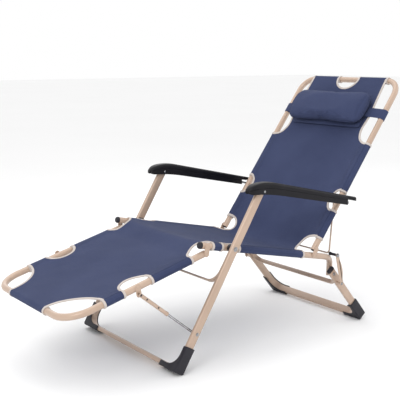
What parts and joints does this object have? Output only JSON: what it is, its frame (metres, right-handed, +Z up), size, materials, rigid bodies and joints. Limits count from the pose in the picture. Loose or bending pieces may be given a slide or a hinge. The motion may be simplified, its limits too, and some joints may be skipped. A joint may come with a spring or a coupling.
{
  "type": "folding beach chair",
  "caption": "Folding reclining beach chair with sling seat, hinged back, leg rest, armrests, U-shaped leg frames and a head pillow.",
  "frame": {"origin": "on the floor, under the middle of the object's bounding box", "axes": "+X from the foot end to the head end, +Y to the sitter's right, +Z up"},
  "size_m": [1.4522, 0.624, 0.9214],
  "materials": {
    "navy_fabric": "woven, matt",
    "painted_steel": "beige powder coat, satin",
    "black_plastic": "moulded, fine grain",
    "bright_steel": "bright plated"
  },
  "bodies": {
    "seat_frame": {"left_seat_tube": "painted_steel", "right_seat_tube": "painted_steel", "left_seat_plug": "black_plastic", "right_seat_plug": "black_plastic", "left_back_bracket": "painted_steel", "right_back_bracket": "painted_steel", "left_leg_rest_link": "painted_steel", "right_leg_rest_link": "painted_steel", "left_leg_spacer": "black_plastic", "right_leg_spacer": "black_plastic", "seat_sling": "navy_fabric"},
    "back_frame": {"back_tube": "painted_steel", "back_sling": "navy_fabric", "left_armrest_pin": "bright_steel", "right_armrest_pin": "bright_steel", "left_back_plug": "black_plastic", "right_back_plug": "black_plastic"},
    "pillow": {"head_pillow": "navy_fabric", "left_pillow_strap": "navy_fabric", "right_pillow_strap": "navy_fabric"},
    "leg_rest": {"leg_rest_tube": "painted_steel", "leg_rest_sling": "navy_fabric", "left_leg_rest_plug": "black_plastic", "right_leg_rest_plug": "black_plastic", "left_stay_hanger": "painted_steel", "right_stay_hanger": "painted_steel"},
    "left_stay_outer": {"left_stay_tube": "painted_steel"},
    "right_stay_outer": {"right_stay_tube": "painted_steel"},
    "left_stay_inner": {"left_stay_rod": "bright_steel"},
    "right_stay_inner": {"right_stay_rod": "bright_steel"},
    "front_legs": {"front_leg_frame": "painted_steel", "front_brace": "painted_steel", "left_front_shoe": "black_plastic", "right_front_shoe": "black_plastic", "left_leg_pivot_rivet": "bright_steel", "right_leg_pivot_rivet": "bright_steel", "left_stay_rivet": "bright_steel", "right_stay_rivet": "bright_steel"},
    "rear_legs": {"rear_leg_frame": "painted_steel", "rear_brace": "painted_steel", "left_rear_shoe": "black_plastic", "right_rear_shoe": "black_plastic", "left_rear_leg_plug": "black_plastic", "right_rear_leg_plug": "black_plastic", "left_rear_pivot_rivet": "bright_steel", "right_rear_pivot_rivet": "bright_steel"},
    "bail": {"back_bail": "painted_steel", "left_bail_sleeve": "black_plastic", "right_bail_sleeve": "black_plastic"},
    "left_latch": {"left_latch_plate": "painted_steel"},
    "right_latch": {"right_latch_plate": "painted_steel"},
    "left_arm": {"left_armrest": "black_plastic", "left_armrest_pivot": "bright_steel", "left_armrest_rack": "bright_steel"},
    "right_arm": {"right_armrest": "black_plastic", "right_armrest_pivot": "bright_steel", "right_armrest_rack": "bright_steel"}
  },
  "joints": [
    {"name": "back_fold", "type": "hinge", "parent": "seat_frame", "child": "back_frame", "pos_m": [0.2783, 0, 0.322], "axis": [0, -1, 0], "range_deg": [0, 105]},
    {"name": "front_leg_fold", "type": "hinge", "parent": "seat_frame", "child": "front_legs", "pos_m": [-0.1197, 0, 0.384], "axis": [0, -1, 0], "range_deg": [0, 93.5]},
    {"name": "rear_leg_fold", "type": "hinge", "parent": "seat_frame", "child": "rear_legs", "pos_m": [0.3903, 0, 0.208], "axis": [0, -1, 0], "range_deg": [-144, 0]},
    {"name": "leg_rest_fold", "type": "hinge", "parent": "seat_frame", "child": "leg_rest", "pos_m": [-0.2167, 0, 0.376], "axis": [0, -1, 0], "range_deg": [0, 138]},
    {"name": "left_armrest_swing", "type": "hinge", "parent": "front_legs", "child": "left_arm", "pos_m": [-0.0084, 0, 0.5656], "axis": [0, -1, 0], "range_deg": [-93.5, 0]},
    {"name": "right_armrest_swing", "type": "hinge", "parent": "front_legs", "child": "right_arm", "pos_m": [-0.0084, 0, 0.5656], "axis": [0, -1, 0], "range_deg": [-93.5, 0]},
    {"name": "bail_swing", "type": "hinge", "parent": "back_frame", "child": "bail", "pos_m": [0.3985, 0, 0.48385], "axis": [0, -1, 0], "range_deg": [-24, 0]},
    {"name": "left_latch_swing", "type": "hinge", "parent": "rear_legs", "child": "left_latch", "pos_m": [0.4083, 0, 0.173], "axis": [0, -1, 0], "range_deg": [0, 207]},
    {"name": "right_latch_swing", "type": "hinge", "parent": "rear_legs", "child": "right_latch", "pos_m": [0.4083, 0, 0.173], "axis": [0, -1, 0], "range_deg": [0, 207]},
    {"name": "left_stay_swing", "type": "hinge", "parent": "leg_rest", "child": "left_stay_outer", "pos_m": [-0.4747, 0, 0.288], "axis": [0, -1, 0], "range_deg": [-112, 0]},
    {"name": "right_stay_swing", "type": "hinge", "parent": "leg_rest", "child": "right_stay_outer", "pos_m": [-0.4747, 0, 0.288], "axis": [0, -1, 0], "range_deg": [-112, 0]},
    {"name": "left_stay_slide", "type": "slide", "parent": "left_stay_outer", "child": "left_stay_inner", "axis": [0.7758, 0, -0.631], "range_m": [-0.143, 0]},
    {"name": "right_stay_slide", "type": "slide", "parent": "right_stay_outer", "child": "right_stay_inner", "axis": [0.7758, 0, -0.631], "range_m": [-0.143, 0]},
    {"name": "pillow_slide", "type": "slide", "parent": "back_frame", "child": "pillow", "axis": [0.5962, 0, 0.8028], "range_m": [-0.08, 0.04]}
  ],
  "couplings": [
    {"joint": "front_leg_fold", "follows": "back_fold", "ratio": 0.89048},
    {"joint": "rear_leg_fold", "follows": "back_fold", "ratio": -1.3714},
    {"joint": "leg_rest_fold", "follows": "back_fold", "ratio": 1.3143},
    {"joint": "left_armrest_swing", "follows": "back_fold", "ratio": -0.89048},
    {"joint": "right_armrest_swing", "follows": "back_fold", "ratio": -0.89048},
    {"joint": "bail_swing", "follows": "back_fold", "ratio": -0.2219},
    {"joint": "left_latch_swing", "follows": "back_fold", "ratio": 1.9657},
    {"joint": "right_latch_swing", "follows": "back_fold", "ratio": 1.9657},
    {"joint": "left_stay_swing", "follows": "back_fold", "ratio": -1.0543},
    {"joint": "right_stay_swing", "follows": "back_fold", "ratio": -1.0543},
    {"joint": "left_stay_slide", "follows": "back_fold", "m_per_rad": -0.077049},
    {"joint": "right_stay_slide", "follows": "back_fold", "m_per_rad": -0.077049}
  ]
}
